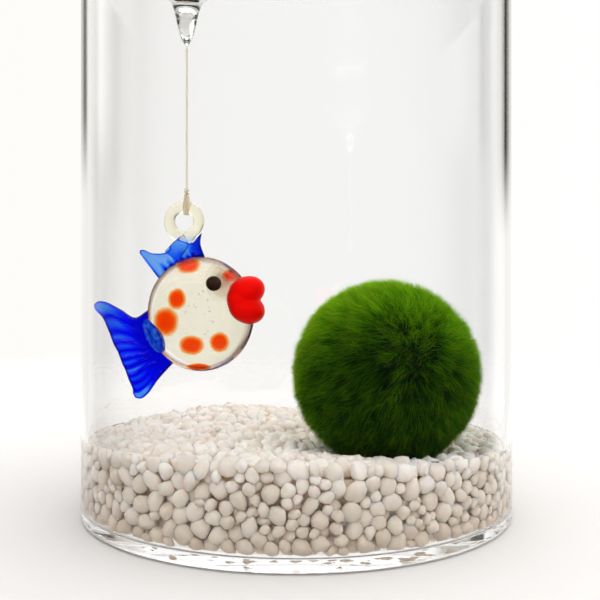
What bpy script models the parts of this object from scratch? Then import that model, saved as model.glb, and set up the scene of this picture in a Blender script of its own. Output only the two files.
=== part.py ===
"""Marimo moss ball in a filled glass cylinder vase, with pale gravel and a hanging glass fish.

Every object is one physical piece, in metres, with +Z up. The origin is the centre of the
vase's underside, and the front is towards -Y, with the fish on the left and the moss ball
on the right. The fish is modelled about the centre of its body and parented there.
"""

import math
import random

import bmesh
import bpy
from mathutils import Matrix, Vector, noise

SEED = 7
GAP = 0.0003                     # clearance between pieces that touch
GLASS_GAP = 0.00045              # the same between the fish's pieces, whose facets cut corners

# Glass vase, a standard 120 x 200 mm cylinder.
VASE_RADIUS = 0.060
VASE_HEIGHT = 0.200
VASE_WALL = 0.0020
VASE_FLOOR = 0.0024
VASE_SIDES = 48
HEEL_ROUND = 0.0012
INNER_ROUND = 0.0015
FOOT_INNER_RADIUS = 0.044
FOOT_BEVEL = 0.004
FOOT_RECESS = 0.0008
BORE_RADIUS = VASE_RADIUS - VASE_WALL

# Gravel bed, a little lower at the back, heaped behind the fish and hollowed under the ball.
GRAVEL_RADIUS = BORE_RADIUS - 0.0005
GRAVEL_MIDDLE = 0.0216           # height of the stones' tops on the axis
GRAVEL_SLOPE = -0.0483           # rise per metre towards the back
HEAP_CENTRE = (-0.022, 0.040)
HEAP_RISE = 0.0035
HEAP_SPREAD = 0.016
HOLLOW_DROP = 0.0055
HOLLOW_SPREAD = 0.020
STONE_RADIUS = 0.0042
STONE_PITCH = 0.0072
STONE_ROW = STONE_PITCH * math.sqrt(3) / 2
STONE_JITTER = STONE_PITCH * 0.2
SIDE_LEVELS = 3                  # rings of stones that show against the glass
CORE_DROP = 0.0035               # the bed's core stays this far below the stones' tops
CORE_RADIUS = GRAVEL_RADIUS - 0.001
CORE_RINGS = 6
GRAVEL_VOXEL = 0.0012
GRAVEL_FACES = 1850

# Moss ball, 52 mm across its fibre tips, nested in the gravel.
BALL_CENTRE = Vector((0.0239, -0.0150, 0.0386))
BALL_RADIUS = 0.0262
BALL_LUMP = 0.0006
BALL_LUMP_SCALE = 4
BALL_CLEARANCE = 0.0006

# Water, with a small meniscus at the glass.
WATER_LEVEL = 0.165
MENISCUS_RISE = 0.0013
MENISCUS_REACH = 0.0045
WATER_RADIUS = BORE_RADIUS - GAP
WATER_OVER_STONES = 0.0006
FISH_CLEARANCE = 0.0012
LOOP_TOP = 0.088                 # the thread is single above this height
CHANNEL_START = LOOP_TOP - 0.002

# Glass fish, 46 mm from tail tip to lips, and its flattened round body.
FISH_CENTRE = Vector((-0.0255, -0.0160, 0.05445))
BODY_HALF = Vector((0.0144, 0.0070, 0.01535))
BODY_SIDES = 24
BEAD_SIDES = 14
FIN_THICKNESS = 0.0018
RIPPLE_FADE = 0.75               # half turns of a ripple's height between a fin's root and rim
TAIL_RIPPLE = 0.0009
DORSAL_RIPPLE = 0.0003
EYE_PLACE = (0.0040, 0.0078)
EYE_RADIUS = 0.0020
EYE_FLATNESS = 0.60
SIDE_FIN_PLACE = (-0.0117, -0.0056)
SIDE_FIN_HALF = Vector((0.0049, 0.0029, 0.0009))
SIDE_FIN_TURN = math.radians(-65)

# Hanging ring, a rod curled over itself, on the fish's back.
RING_CENTRE = (-0.0045, 0.0247)
RING_RADIUS = 0.0040             # to the middle of the rod
RING_ROD = 0.0015
RING_SPREAD = 0.0017             # how far the two ends pass to the front and to the back
RING_START = -18                 # degrees round the ring, where the rod joins the circle
RING_END = 276
RING_STEPS = 7
RING_POINTS = 26
RING_FOOT = [(-0.0042, 0.0199), (-0.0026, 0.0219)]
THREAD_ANGLE = 80                # degrees round the ring, where the thread goes over the rod

# Thread and float.
THREAD_X = -0.0038               # from the middle of the fish's body
THREAD_RADIUS = 0.0003
THREAD_POINTS = 36
# Its route as (towards the back, up) from the body's centre: down, then round the ring's rod.
THREAD_ROUTE = [(0.0, 0.07075), (0.0, 0.0580), (0.0, 0.0460), (0.0, 0.0360), (0.0, 0.0327),
                (-0.0008, 0.0315), (-0.0019, 0.0296), (-0.0021, 0.0284), (-0.0016, 0.0273),
                (-0.0006, 0.0267), (0.0006, 0.0267), (0.0016, 0.0273), (0.0021, 0.0284),
                (0.0019, 0.0296), (0.0011, 0.0313)]
FLOAT_RADIUS = 0.015
FLOAT_MIDDLE = 0.1535
FLOAT_TANGENT = math.radians(-52)
FLOAT_TIP = 0.1255
FLOAT_TAIL = [(0.0052, 0.1385), (0.0040, 0.1370), (0.0031, 0.1344), (0.0024, 0.1313),
              (0.0018, 0.1289), (0.0008, 0.1266)]      # radius and height down the drawn tail
FLOAT_SIDES = 20

# Outlines of the fish in its own plane, as (towards the lips, up) from the body's centre.
TAIL_TOP_EDGE = [(-0.0149, 0.0010), (-0.0178, -0.0009), (-0.0216, 0.0012), (-0.0262, 0.0032),
                 (-0.0288, 0.0028)]
TAIL_RIM = [(-0.0288, 0.0028), (-0.0266, -0.0005), (-0.0247, -0.0040), (-0.0217, -0.0112),
            (-0.0193, -0.0167), (-0.0181, -0.0209), (-0.0168, -0.0225)]
TAIL_LOW_EDGE = [(-0.0086, -0.0137), (-0.0110, -0.0171), (-0.0138, -0.0210), (-0.0168, -0.0225)]
TAIL_ROOT_ANGLES = (176, 239)
DORSAL_BACK_EDGE = [(-0.0117, 0.0097), (-0.0146, 0.0136), (-0.0164, 0.0165)]
DORSAL_TOP_EDGE = [(-0.0164, 0.0165), (-0.0132, 0.0163), (-0.0096, 0.0163), (-0.0073, 0.0183),
                   (-0.0045, 0.0180), (-0.0022, 0.0184), (0.0002, 0.0217)]
DORSAL_FRONT_EDGE = [(0.0012, 0.0156), (-0.0001, 0.0186), (0.0002, 0.0217)]
DORSAL_ROOT_ANGLES = (142, 85.5)
LIP_HALF = Vector((0.0056, 0.0076, 0.0042))
LIP_SIDES = 18
UPPER_LIP = ((0.0114, 0.0059), math.radians(20))
LOWER_LIP = ((0.0114, 0.0017), math.radians(-20))


def clear_scene():
    for obj in list(bpy.data.objects):
        bpy.data.objects.remove(obj, do_unlink=True)


def material(name, rgb, roughness, transmission=0.0, ior=1.5):
    made = bpy.data.materials.new(name)
    made.use_nodes = True
    shader = made.node_tree.nodes["Principled BSDF"]
    shader.inputs["Base Color"].default_value = (*rgb, 1.0)
    shader.inputs["Roughness"].default_value = roughness
    shader.inputs["Metallic"].default_value = 0.0
    shader.inputs["Transmission Weight"].default_value = transmission
    shader.inputs["IOR"].default_value = ior
    return made


def add_object(name, data, collection, finish=None):
    obj = bpy.data.objects.new(name, data)
    collection.objects.link(obj)
    if finish:
        data.materials.append(finish)
    return obj


def as_cutter(obj):
    obj.hide_render = True
    obj.display_type = "WIRE"
    return obj


def smooth_mesh(mesh, angle=math.radians(50)):
    mesh.shade_smooth()
    mesh.set_sharp_from_angle(angle=angle)


def mesh_of(obj):
    """The object's mesh with its modifiers applied, in its own space."""
    depsgraph = bpy.context.evaluated_depsgraph_get()
    depsgraph.update()
    return bpy.data.meshes.new_from_object(obj.evaluated_get(depsgraph))


def cut(obj, cutter, operation="DIFFERENCE"):
    modifier = obj.modifiers.new(operation.title(), "BOOLEAN")
    modifier.operation = operation
    modifier.solver = "EXACT"
    modifier.object = cutter


def arc(center, radius, start, end, steps):
    """Points of an arc in a plane, both ends included, for angles in radians."""
    angles = [start + (end - start) * i / steps for i in range(steps + 1)]
    return [(center[0] + radius * math.cos(a), center[1] + radius * math.sin(a)) for a in angles]


def smooth_curve(points, count):
    """Evenly spaced points on a smooth curve through the given ones, in 2D or 3D."""
    knots = [Vector(p) for p in points]
    knots = [2 * knots[0] - knots[1]] + knots + [2 * knots[-1] - knots[-2]]
    dense = []
    for before, a, b, after in zip(knots, knots[1:], knots[2:], knots[3:]):
        for step in range(20):
            t = step / 20
            dense.append(0.5 * (2 * a + (b - before) * t
                                + (2 * before - 5 * a + 4 * b - after) * t ** 2
                                + (3 * a - before - 3 * b + after) * t ** 3))
    dense.append(knots[-2])
    lengths = [0.0]
    for a, b in zip(dense, dense[1:]):
        lengths.append(lengths[-1] + (b - a).length)
    even = []
    index = 0
    for i in range(count):
        target = lengths[-1] * i / (count - 1)
        while index < len(dense) - 2 and lengths[index + 1] < target:
            index += 1
        span = lengths[index + 1] - lengths[index]
        even.append(dense[index].lerp(dense[index + 1], (target - lengths[index]) / span))
    return even


def turned(name, profile, sides, collection, finish=None):
    """A profile of (radius, height) points spun round the Z axis."""
    mesh = bpy.data.meshes.new(name)
    points = [(radius, 0.0, height) for radius, height in profile]
    mesh.from_pydata(points, [(i, i + 1) for i in range(len(points) - 1)], [])
    obj = add_object(name, mesh, collection, finish)
    screw = obj.modifiers.new("Screw", "SCREW")
    screw.steps = sides
    screw.render_steps = sides
    screw.use_merge_vertices = True
    screw.merge_threshold = 0.00001
    return obj


def tube(name, points, radius, resolution, collection, finish):
    """A round rod or thread along the given points, closed at both ends."""
    curve = bpy.data.curves.new(name, "CURVE")
    curve.dimensions = "3D"
    curve.bevel_depth = radius
    curve.bevel_resolution = resolution
    curve.use_fill_caps = True
    spline = curve.splines.new("POLY")
    spline.points.add(len(points) - 1)
    for target, point in zip(spline.points, points):
        target.co = (*point, 1.0)
    return add_object(name, curve, collection, finish)


def ellipsoid(name, half, sides, placing=Matrix.Identity(4)):
    mesh = bpy.data.meshes.new(name)
    shape = bmesh.new()
    bmesh.ops.create_uvsphere(shape, u_segments=sides, v_segments=sides // 2, radius=1.0)
    bmesh.ops.transform(shape, matrix=placing @ Matrix.Diagonal((*half, 1.0)), verts=shape.verts)
    shape.to_mesh(mesh)
    shape.free()
    smooth_mesh(mesh)
    return mesh


def vase(collection, finish):
    inner_corner = arc((BORE_RADIUS - INNER_ROUND, VASE_FLOOR + INNER_ROUND), INNER_ROUND,
                       -math.pi / 2, 0, 3)
    rim = arc((VASE_RADIUS - VASE_WALL / 2, VASE_HEIGHT - VASE_WALL / 2), VASE_WALL / 2,
              math.pi, 0, 4)
    heel = arc((VASE_RADIUS - HEEL_ROUND, HEEL_ROUND), HEEL_ROUND, 0, -math.pi / 2, 3)
    foot = [(FOOT_INNER_RADIUS, 0.0), (FOOT_INNER_RADIUS - FOOT_BEVEL, FOOT_RECESS),
            (0.0, FOOT_RECESS)]
    profile = [(0.0, VASE_FLOOR)] + inner_corner + rim + heel + foot
    return turned("vase", profile, VASE_SIDES, collection, finish)


def gravel_top(x, y):
    """Height that the tops of the stones reach at a place in the bed."""
    from_heap = Vector((x, y)) - Vector(HEAP_CENTRE)
    from_ball = Vector((x, y)) - BALL_CENTRE.xy
    heap = HEAP_RISE * math.exp(-from_heap.length_squared / (2 * HEAP_SPREAD ** 2))
    hollow = HOLLOW_DROP * math.exp(-from_ball.length_squared / (2 * HOLLOW_SPREAD ** 2))
    return GRAVEL_MIDDLE + GRAVEL_SLOPE * y + heap - hollow


def stone_places(rng):
    """Centres of the bed's outer stones: hexagonal rows on top and rings down the side."""
    reach = GRAVEL_RADIUS - STONE_RADIUS * 0.7
    rows = int(reach / STONE_ROW) + 1
    for row in range(-rows, rows + 1):
        for column in range(-rows - 1, rows + 2):
            x = (column + 0.5 * (row % 2)) * STONE_PITCH + rng.uniform(-1, 1) * STONE_JITTER
            y = row * STONE_ROW + rng.uniform(-1, 1) * STONE_JITTER
            if math.hypot(x, y) < reach:
                yield Vector((x, y, gravel_top(x, y) - STONE_RADIUS * rng.uniform(0.9, 1.2)))
    around = int(math.tau * GRAVEL_RADIUS / STONE_PITCH)
    for level in range(SIDE_LEVELS):
        height = VASE_FLOOR + STONE_RADIUS * (1.1 + 1.5 * level)
        for i in range(around):
            angle = math.tau * (i + 0.5 * level + rng.uniform(-0.2, 0.2)) / around
            x = (GRAVEL_RADIUS - STONE_RADIUS) * math.cos(angle)
            y = (GRAVEL_RADIUS - STONE_RADIUS) * math.sin(angle)
            yield Vector((x, y, min(height, gravel_top(x, y) - STONE_RADIUS)))


def fit_bed_point(point):
    """Bring a point of the bed inside the vase, under the stones' tops and clear of the ball."""
    flat = Vector((point.x, point.y, 0.0))
    if flat.length > GRAVEL_RADIUS:
        flat *= GRAVEL_RADIUS / flat.length
    height = min(max(point.z, VASE_FLOOR + GAP), gravel_top(flat.x, flat.y))
    round_middle = Vector((BORE_RADIUS - INNER_ROUND, VASE_FLOOR + INNER_ROUND))
    offset = Vector((flat.length, height)) - round_middle
    limit = INNER_ROUND - 2 * GAP
    if offset.x > 0 and offset.y < 0 and offset.length > limit:
        offset *= limit / offset.length
        flat *= (round_middle.x + offset.x) / flat.length
        height = round_middle.y + offset.y
    place = Vector((flat.x, flat.y, height))
    from_ball = place - BALL_CENTRE
    keep_off = BALL_RADIUS + BALL_CLEARANCE
    if from_ball.length < keep_off:
        place = BALL_CENTRE + from_ball * (keep_off / from_ball.length)
    return place


def bed_disc(name, profile, surface, collection):
    """A turned disc whose points at height 0 are moved onto a surface over the bed."""
    turning = turned(name, profile, VASE_SIDES, collection)
    mesh = mesh_of(turning)
    bpy.data.objects.remove(turning, do_unlink=True)
    for vert in mesh.vertices:
        if abs(vert.co.z) < GAP:
            vert.co.z = surface(vert.co.x, vert.co.y)
    return mesh


def gravel_bed(collection, finish):
    rng = random.Random(SEED)
    rings = [(CORE_RADIUS * i / CORE_RINGS, 0.0) for i in range(CORE_RINGS + 1)]
    underside = [(CORE_RADIUS, VASE_FLOOR + GAP), (0.0, VASE_FLOOR + GAP)]
    core = bed_disc("gravel_core", rings + underside,
                    lambda x, y: gravel_top(x, y) - CORE_DROP, collection)
    mesh = bpy.data.meshes.new("gravel_bed")
    shape = bmesh.new()
    shape.from_mesh(core)
    for place in stone_places(rng):
        stretch = Vector([rng.uniform(0.85, 1.2) for _ in range(3)]) * STONE_RADIUS
        turn = Matrix.Rotation(rng.uniform(0, math.tau), 4, rng.choice("XYZ"))
        bmesh.ops.create_icosphere(shape, subdivisions=2, radius=1.0, matrix=Matrix.Translation(place)
                                   @ turn @ Matrix.Diagonal((*stretch, 1.0)))
    shape.to_mesh(mesh)
    shape.free()
    lumps = add_object("gravel_lumps", mesh, collection)
    remesh = lumps.modifiers.new("Fuse", "REMESH")
    remesh.mode = "VOXEL"
    remesh.voxel_size = GRAVEL_VOXEL
    fused = len(mesh_of(lumps).polygons) * 2
    decimate = lumps.modifiers.new("Coarsen", "DECIMATE")
    decimate.ratio = GRAVEL_FACES / fused
    bed = mesh_of(lumps)
    bpy.data.objects.remove(lumps, do_unlink=True)
    for vert in bed.vertices:
        vert.co = fit_bed_point(vert.co)
    bed.materials.clear()
    return add_object("gravel_bed", bed, collection, finish)


def moss_ball(collection, finish):
    mesh = bpy.data.meshes.new("moss_ball")
    shape = bmesh.new()
    bmesh.ops.create_icosphere(shape, subdivisions=4, radius=1.0)
    for vert in shape.verts:
        outward = vert.co.normalized()
        dent = (1 - noise.noise(outward * BALL_LUMP_SCALE)) / 2
        vert.co = outward * (BALL_RADIUS - BALL_LUMP * dent)
    shape.to_mesh(mesh)
    shape.free()
    smooth_mesh(mesh)
    obj = add_object("moss_ball", mesh, collection, finish)
    obj.location = BALL_CENTRE
    return obj


def body_surface(place, side, lift=0.0):
    """A point over the fish's flank and the way out of it there; side is -1 in front."""
    x, z = place
    left = 1 - (x / BODY_HALF.x) ** 2 - (z / BODY_HALF.z) ** 2
    point = Vector((x, side * BODY_HALF.y * math.sqrt(left), z))
    outward = Vector((point[i] / BODY_HALF[i] ** 2 for i in range(3))).normalized()
    return point + outward * lift, outward


def fish_body(collection, finish):
    return add_object("fish_body", ellipsoid("fish_body", BODY_HALF, BODY_SIDES), collection, finish)


def body_root(angles):
    """A fin's root: the body's outline between two angles, a gap away from it."""
    start, end = (math.radians(a) for a in angles)
    turn = [start + (end - start) * i / 8 for i in range(9)]
    return [((BODY_HALF.x + GLASS_GAP) * math.cos(a), (BODY_HALF.z + GLASS_GAP) * math.sin(a))
            for a in turn]


def fin(name, root, rim, first_edge, last_edge, columns, rows, ripple, collection, finish):
    """A rippled glass fin lofted between its root, its rim and its two edges."""
    roots = smooth_curve(root, columns + 1)
    rims = smooth_curve(rim, columns + 1)
    firsts = smooth_curve(first_edge, rows + 1)
    lasts = smooth_curve(last_edge, rows + 1)
    shape = bmesh.new()
    grid = []
    for j in range(rows + 1):
        t = j / rows
        line = []
        for i in range(columns + 1):
            s = i / columns
            corners = ((roots[0] * (1 - s) + roots[-1] * s) * (1 - t)
                       + (rims[0] * (1 - s) + rims[-1] * s) * t)
            flat = (roots[i] * (1 - t) + rims[i] * t + firsts[j] * (1 - s) + lasts[j] * s - corners)
            wave = ripple * (1 if i % 2 else -1) * math.sin(math.pi * RIPPLE_FADE * t)
            line.append(shape.verts.new((flat.x, wave, flat.y)))
        grid.append(line)
    for near, far in zip(grid, grid[1:]):
        for i in range(columns):
            shape.faces.new((near[i], near[i + 1], far[i + 1], far[i]))
    bmesh.ops.recalc_face_normals(shape, faces=shape.faces)
    mesh = bpy.data.meshes.new(name)
    shape.to_mesh(mesh)
    shape.free()
    obj = add_object(name, mesh, collection, finish)
    wall = obj.modifiers.new("Thickness", "SOLIDIFY")
    wall.thickness = FIN_THICKNESS
    wall.offset = 0.0
    return obj


def fish_lips(cutters, collection, finish):
    lobes = []
    for place, tilt in (UPPER_LIP, LOWER_LIP):
        placing = Matrix.Translation((place[0], 0.0, place[1])) @ Matrix.Rotation(-tilt, 4, "Y")
        lobes.append(ellipsoid("fish_lips", LIP_HALF, LIP_SIDES, placing))
    lips = add_object("fish_lips", lobes[0], collection, finish)
    lower = as_cutter(add_object("lower_lip", lobes[1], cutters))
    room = BODY_HALF + Vector((GLASS_GAP, GLASS_GAP, GLASS_GAP))
    socket = as_cutter(add_object("lip_socket", ellipsoid("lip_socket", room, BODY_SIDES), cutters))
    cut(lips, lower, "UNION")
    cut(lips, socket)
    return [lips, lower, socket]


def on_flank(name, half, place, turn, side, collection, finish):
    """A flattened bead of glass against the fish's flank."""
    point, outward = body_surface(place, side, half.z + GLASS_GAP)
    up = outward.to_track_quat("Z", "Y").to_matrix().to_4x4()
    placing = Matrix.Translation(point) @ up @ Matrix.Rotation(turn, 4, "Z")
    return add_object(name, ellipsoid(name, half, BEAD_SIDES, placing), collection, finish)


def fish_ring(collection, finish):
    route = [(x, -RING_SPREAD, z) for x, z in RING_FOOT]
    circle = arc(RING_CENTRE, RING_RADIUS, math.radians(RING_START), math.radians(RING_END),
                 RING_STEPS)
    for i, (x, z) in enumerate(circle):
        degrees = RING_START + (RING_END - RING_START) * i / RING_STEPS
        depth = RING_SPREAD * (degrees - THREAD_ANGLE) / (RING_END - THREAD_ANGLE)
        route.append((x, depth, z))
    return tube("fish_ring", smooth_curve(route, RING_POINTS), RING_ROD, 2, collection, finish)


def thread(collection, finish):
    """Straight down from the float's tail, then once round the top of the ring's rod."""
    route = [(THREAD_X, y, z) for y, z in THREAD_ROUTE]
    return tube("thread", smooth_curve(route, THREAD_POINTS), THREAD_RADIUS, 2, collection, finish)


def float_profile(grow=0.0):
    """The bulb and its drawn tail, from the top down, grown outwards by a clearance."""
    bulb = arc((0.0, FLOAT_MIDDLE), FLOAT_RADIUS + grow, math.pi / 2, FLOAT_TANGENT, 9)
    return bulb + [(radius + grow, height) for radius, height in FLOAT_TAIL]


def glass_float(collection, finish):
    obj = turned("float", float_profile() + [(0.0, FLOAT_TIP)], FLOAT_SIDES, collection, finish)
    obj.location = (FISH_CENTRE.x + THREAD_X, FISH_CENTRE.y, 0.0)
    return obj


def world_points(objects):
    """Corners of the objects' surfaces in the world, with their modifiers."""
    points = []
    for obj in objects:
        mesh = mesh_of(obj)
        points += [obj.matrix_world @ vert.co for vert in mesh.vertices]
        bpy.data.meshes.remove(mesh)
    return points


def envelope(points, clearance):
    """The convex solid round the points, pushed out by a clearance."""
    shape = bmesh.new()
    for point in points:
        shape.verts.new(point)
    bmesh.ops.remove_doubles(shape, verts=shape.verts, dist=clearance)
    hull = bmesh.ops.convex_hull(shape, input=shape.verts)
    inside = {part for part in hull["geom_interior"] if isinstance(part, bmesh.types.BMVert)}
    bmesh.ops.delete(shape, geom=list(inside), context="VERTS")
    middle = sum((v.co for v in shape.verts), Vector()) / len(shape.verts)
    for vert in shape.verts:
        vert.co += (vert.co - middle).normalized() * clearance
    bmesh.ops.recalc_face_normals(shape, faces=shape.faces)
    mesh = bpy.data.meshes.new("fish_envelope")
    shape.to_mesh(mesh)
    shape.free()
    return mesh


def water(fish, cutters, collection, finish):
    """The water over the stones, open where the ball, the fish and the float are in it."""
    edge = WATER_RADIUS
    surface = [(0.0, WATER_LEVEL), (edge - MENISCUS_REACH, WATER_LEVEL),
               (edge - MENISCUS_REACH / 3, WATER_LEVEL + MENISCUS_RISE / 4),
               (edge, WATER_LEVEL + MENISCUS_RISE)]
    underside = [(edge * i / 4, 0.0) for i in range(4, -1, -1)]
    mesh = bed_disc("water", surface + underside,
                    lambda x, y: gravel_top(x, y) + WATER_OVER_STONES, collection)
    obj = add_object("water", mesh, collection, finish)

    ball_half = Vector([BALL_RADIUS + 2 * BALL_CLEARANCE] * 3)
    ball_room = as_cutter(add_object("ball_room", ellipsoid("ball_room", ball_half, BODY_SIDES),
                                     cutters))
    ball_room.location = BALL_CENTRE
    hanging = [point for point in world_points(fish) if point.z < LOOP_TOP]
    fish_room = as_cutter(add_object("fish_room", envelope(hanging, FISH_CLEARANCE), cutters))
    channel = THREAD_RADIUS + 2 * GAP
    room_profile = float_profile(2 * GAP)
    room_profile += [(channel, FLOAT_TIP - FISH_CLEARANCE), (channel, CHANNEL_START),
                     (0.0, CHANNEL_START)]
    float_room = as_cutter(turned("float_room", room_profile, FLOAT_SIDES, cutters))
    float_room.location = (FISH_CENTRE.x + THREAD_X, FISH_CENTRE.y, 0.0)
    for cutter in (ball_room, fish_room, float_room):
        cut(obj, cutter)
    return obj


def main():
    clear_scene()
    parts = bpy.data.collections.new("marimo_vase")
    cutters = bpy.data.collections.new("cutters")
    for collection in (parts, cutters):
        bpy.context.scene.collection.children.link(collection)

    clear_glass = material("clear_glass", (0.93, 0.95, 0.94), 0.02, 1.0)
    pale_pebbles = material("pale_pebbles", (0.66, 0.60, 0.53), 0.75)
    moss = material("moss_fibres", (0.10, 0.28, 0.02), 0.90)
    clear_water = material("clear_water", (0.95, 0.98, 0.98), 0.0, 1.0, 1.333)
    nylon = material("nylon_thread", (0.80, 0.76, 0.68), 0.35, 0.4, 1.53)
    cream_glass = material("cream_glass", (0.90, 0.86, 0.72), 0.04, 0.9)
    blue_glass = material("blue_glass", (0.01, 0.05, 0.80), 0.05, 0.8)
    red_glass = material("red_glass", (0.85, 0.01, 0.0), 0.08)
    dark_glass = material("dark_glass", (0.02, 0.015, 0.01), 0.05)

    vase(parts, clear_glass)
    gravel_bed(parts, pale_pebbles)
    moss_ball(parts, moss)

    fish_frame = bpy.data.objects.new("fish_frame", None)
    parts.objects.link(fish_frame)
    fish_frame.location = FISH_CENTRE
    tail = fin("fish_tail", body_root(TAIL_ROOT_ANGLES), TAIL_RIM, TAIL_TOP_EDGE, TAIL_LOW_EDGE,
               14, 4, TAIL_RIPPLE, parts, blue_glass)
    dorsal = fin("fish_dorsal_fin", body_root(DORSAL_ROOT_ANGLES), DORSAL_TOP_EDGE,
                 DORSAL_BACK_EDGE, DORSAL_FRONT_EDGE, 10, 3, DORSAL_RIPPLE, parts, blue_glass)
    fish = [fish_body(parts, cream_glass), tail, dorsal, fish_ring(parts, cream_glass),
            thread(parts, nylon)]
    fish += fish_lips(cutters, parts, red_glass)
    eye_half = Vector((EYE_RADIUS, EYE_RADIUS, EYE_RADIUS * EYE_FLATNESS))
    for word, side in (("front", -1), ("back", 1)):
        fish.append(on_flank(f"fish_eye_{word}", eye_half, EYE_PLACE, 0.0, side, parts, dark_glass))
        fish.append(on_flank(f"fish_side_fin_{word}", SIDE_FIN_HALF, SIDE_FIN_PLACE,
                             -side * SIDE_FIN_TURN, side, parts, blue_glass))
    for piece in fish:
        piece.parent = fish_frame
    bpy.context.view_layer.update()

    glass_float(parts, clear_glass)
    water(fish, cutters, parts, clear_water)


main()
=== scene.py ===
"""Looks of a marimo moss ball in its filled glass cylinder vase, with pebbles and a glass fish.

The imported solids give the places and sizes. The front is -Y, seen level at the fish's height.
"""

import math

import bpy
import numpy as np
from mathutils import Matrix, Vector, kdtree, noise


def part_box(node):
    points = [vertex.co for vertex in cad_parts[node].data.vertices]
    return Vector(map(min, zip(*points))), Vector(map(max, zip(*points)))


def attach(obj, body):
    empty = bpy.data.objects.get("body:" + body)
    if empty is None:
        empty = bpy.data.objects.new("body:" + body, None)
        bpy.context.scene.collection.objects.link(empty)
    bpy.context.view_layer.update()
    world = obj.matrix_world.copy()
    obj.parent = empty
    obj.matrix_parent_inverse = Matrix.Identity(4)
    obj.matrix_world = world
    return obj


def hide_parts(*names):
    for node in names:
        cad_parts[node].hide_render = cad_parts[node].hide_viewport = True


SEED = 11
SAME = 0.00001                   # places nearer to each other than this are one

# Camera, fitted to the base ellipse of the vase.
CAMERA_PLACE = (0.00092, -0.225, 0.0582)
CAMERA_LENS = 46.84              # millimetres, on a sensor 36 mm wide

# Vase wall and floor, as in the solid.
VASE_SIDES = 256
VASE_WALL = 0.0020
VASE_FLOOR = 0.0024
HEEL_ROUND = 0.0012
INNER_ROUND = 0.0015
FOOT_INNER_RADIUS = 0.044
FOOT_BEVEL = 0.004
FOOT_RECESS = 0.0008
WET_HEIGHT = 0.022               # about where the pebbles against the glass end
BED_SKIN = 0.0008                # how far water and wet glass stay off the pebbles' tops

# Bed of pebbles, as in the solid.
GRAVEL_MIDDLE = 0.0216
GRAVEL_SLOPE = -0.0483
HEAP_CENTRE = (-0.022, 0.040)
HEAP_RISE = 0.0035
HEAP_SPREAD = 0.016
HOLLOW_DROP = 0.0055
HOLLOW_SPREAD = 0.020
PEBBLE_COUNT = 5500
PEBBLE_RADII = (0.00105, 0.0024)
PEBBLE_SQUEEZE = 0.98            # how close two pebbles lie, as a share of their radii's sum
PEBBLE_SINK = 0.0014             # how far some lie below the bed's top
PEBBLE_SHAPES = 14
SETTLE_STEPS = 60
SHOWN_DEPTH = 0.0075             # pebbles deeper than this behind the glass or the top aren't seen
CORE_DEPTH = 0.0045              # how deep the closed inside of the bed begins

# Moss ball, as in the solid, and its filaments.
BALL_CENTRE = np.array((0.0239, -0.0150, 0.0386))
BALL_RADIUS = 0.0262
BALL_PRESS = 0.0004              # how far pebbles press into its fibres
UNDERCOAT_RADIUS = 0.0218
ROOT_DEPTH = 0.0006              # how deep in the undercoat the filaments begin
UNDERCOAT_RELIEF = 0.0006
MOSS_PIECES = 4
FILAMENTS = 27000                # in each piece
FILAMENT_WIDTH = 0.00014
TIP_DROP = 0.0007                # how far under the outline the tips of most tufts end
TIP_SCATTER = 0.0008             # how much shorter than their tuft filaments are on average
TIP_LOWEST = 0.0035              # how far under the outline the shortest tips are
TUFT_RELIEF = 0.0004             # how much further than others a tuft reaches
STRAY_DROP = 0.0006
TUFTS = 1500
CROWN = np.array((0.270, -0.861, 0.431))      # where the filaments part, from the ball's centre
COMB = 0.20                      # how far they lie away from it
COMB_BY_ANGLE = ((0, 35, 65, 95, 180), (0, 0.9, 0.9, 0.35, 0))     # as a share, by degrees from it
STRAYS = 0.08                    # share of them that stands out of the rest
PAINTED_LIGHT_SIDE = np.array((0.12, 0.80, 0.59))          # the side painted paler as light from above and behind; the other side painted darker as shade
PAINTED_SHADE_BY_SIDE = ((-0.95, -0.5, -0.1, 0.5), (-0.34, -0.22, 0.20, 0.48))

# Water, as in the solid.
WATER_LEVEL = 0.165
MENISCUS_RISE = 0.0013
MENISCUS_REACH = 0.0045
WATER_GAP = 0.0003

# Thread, as in the solid: its route as (towards the back, up) from the middle of the fish's body.
THREAD_X = -0.0038
THREAD_DIAMETER = 0.0006
THREAD_ROUTE = [(0.0, 0.07075), (0.0, 0.0580), (0.0, 0.0460), (0.0, 0.0360), (0.0, 0.0327),
                (-0.0008, 0.0315), (-0.0019, 0.0296), (-0.0021, 0.0284), (-0.0016, 0.0273),
                (-0.0006, 0.0267), (0.0006, 0.0267), (0.0016, 0.0273), (0.0021, 0.0284),
                (0.0019, 0.0296), (0.0011, 0.0313)]
KNOT_RADIUS = 0.00048
KNOT_TURNS = 2.5
KNOT_STEPS = 18
KNOT_LOW = 0.0312
KNOT_HEIGHT = 0.00216

# Float, a blown bulb with a drawn tail, as in the solid: radius and height down the tail.
FLOAT_RADIUS = 0.015
FLOAT_MIDDLE = 0.1535
FLOAT_TANGENT = -52              # degrees above level where the bulb turns into the tail
HOLLOW_TANGENT = -38             # the same for the hollow in it
FLOAT_TAIL = [(0.0052, 0.1385), (0.0040, 0.1370), (0.0031, 0.1344), (0.0024, 0.1313),
              (0.0018, 0.1289), (0.0008, 0.1266), (0.0, 0.1255)]
FLOAT_HOLLOW = [(0.0075, 0.1423), (0.0042, 0.1392), (0.0022, 0.1377), (0.0, 0.1371)]
FLOAT_WALL = 0.0008

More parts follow.
